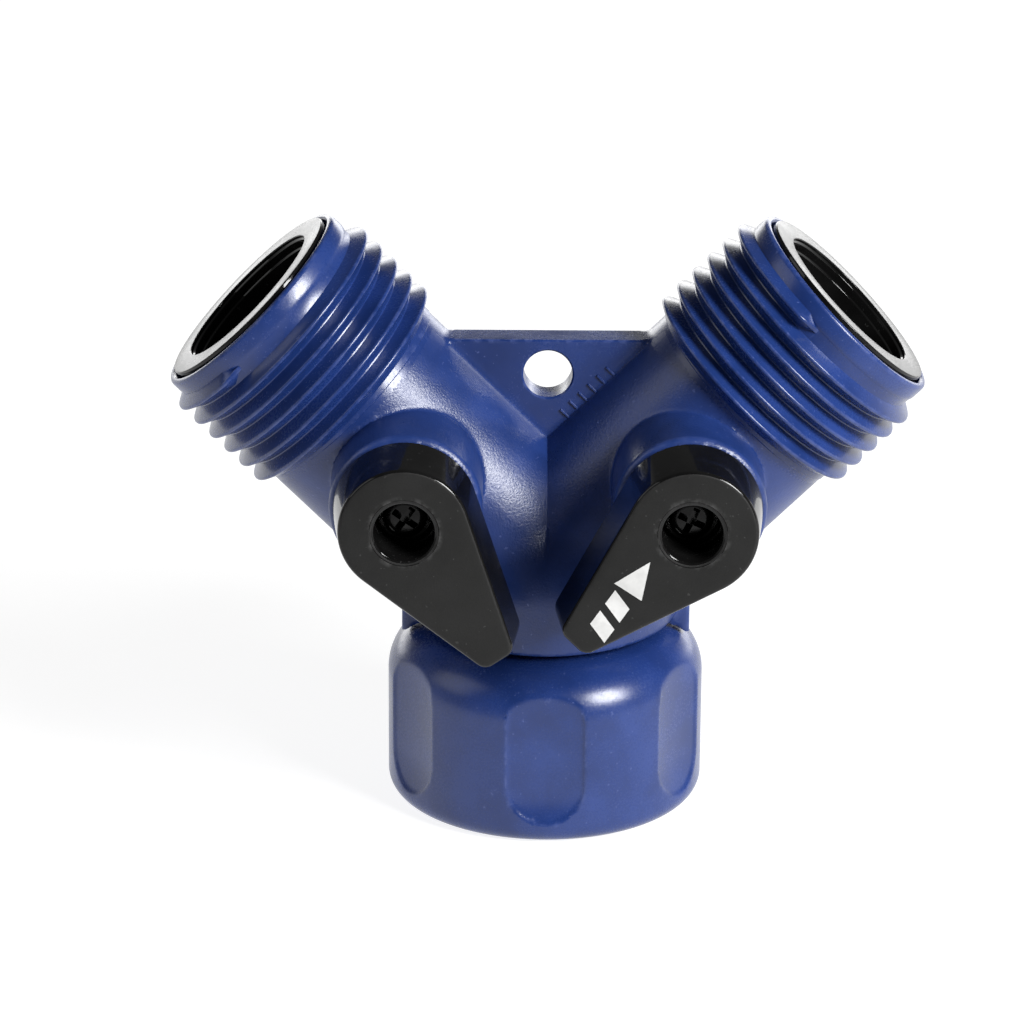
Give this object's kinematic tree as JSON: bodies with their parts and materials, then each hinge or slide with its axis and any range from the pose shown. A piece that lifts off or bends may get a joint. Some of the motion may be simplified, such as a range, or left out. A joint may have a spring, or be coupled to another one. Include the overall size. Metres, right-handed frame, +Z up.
{
  "type": "hose splitter",
  "caption": "Y-shaped garden hose splitter with a swivel nut inlet, two angled threaded outlets and a lever-operated ball valve on each outlet.",
  "frame": {"origin": "centre of the bounding box's floor, in the plane of the swivel nut's mouth face; the inlet axis is vertical, 4.25 mm behind it", "axes": "+X along the line through the two outlets, to the right seen from the lever side; +Y away from the levers; +Z up along the inlet axis, towards the outlets"},
  "size_m": [0.0792, 0.0426, 0.0636],
  "materials": {
    "blue_body": "semi-gloss moulded navy blue plastic",
    "blue_nut": "semi-gloss moulded navy blue plastic",
    "black_lever": "satin face with glossy moulded sides",
    "black_insert": "smooth glossy black plastic",
    "white_seat": "waxy white seat plastic",
    "black_rubber": "matt moulded rubber",
    "stainless_steel": "bright steel",
    "chrome_ball": "plated and polished"
  },
  "bodies": {
    "root": {"body": "blue_body", "retaining_clip": "stainless_steel", "left_outlet_sleeve": "black_insert", "left_outer_seat": "white_seat", "left_inner_seat": "white_seat", "right_outlet_sleeve": "black_insert", "right_outer_seat": "white_seat", "right_inner_seat": "white_seat"},
    "nut": {"swivel_nut": "blue_nut", "inlet_washer": "black_rubber"},
    "left_valve": {"left_lever": "black_lever", "left_valve_ball": "chrome_ball", "left_stem": "black_insert", "left_stem_o_ring": "black_rubber", "left_thrust_washer": "white_seat", "left_handle_screw": "stainless_steel"},
    "right_valve": {"right_lever": "black_lever", "right_valve_ball": "chrome_ball", "right_stem": "black_insert", "right_stem_o_ring": "black_rubber", "right_thrust_washer": "white_seat", "right_handle_screw": "stainless_steel"}
  },
  "joints": [
    {"name": "nut_swivel", "type": "hinge", "parent": "root", "child": "nut", "pos_m": [0, 0.00425, 0], "axis": [0, 0, 1], "continuous": true},
    {"name": "left_valve_turn", "type": "hinge", "parent": "root", "child": "left_valve", "pos_m": [-0.01467, 0.00425, 0.03867], "axis": [0, 1, 0], "range_deg": [-10, 80]},
    {"name": "right_valve_turn", "type": "hinge", "parent": "root", "child": "right_valve", "pos_m": [0.01467, 0.00425, 0.03867], "axis": [0, -1, 0], "range_deg": [0, 90]}
  ]
}
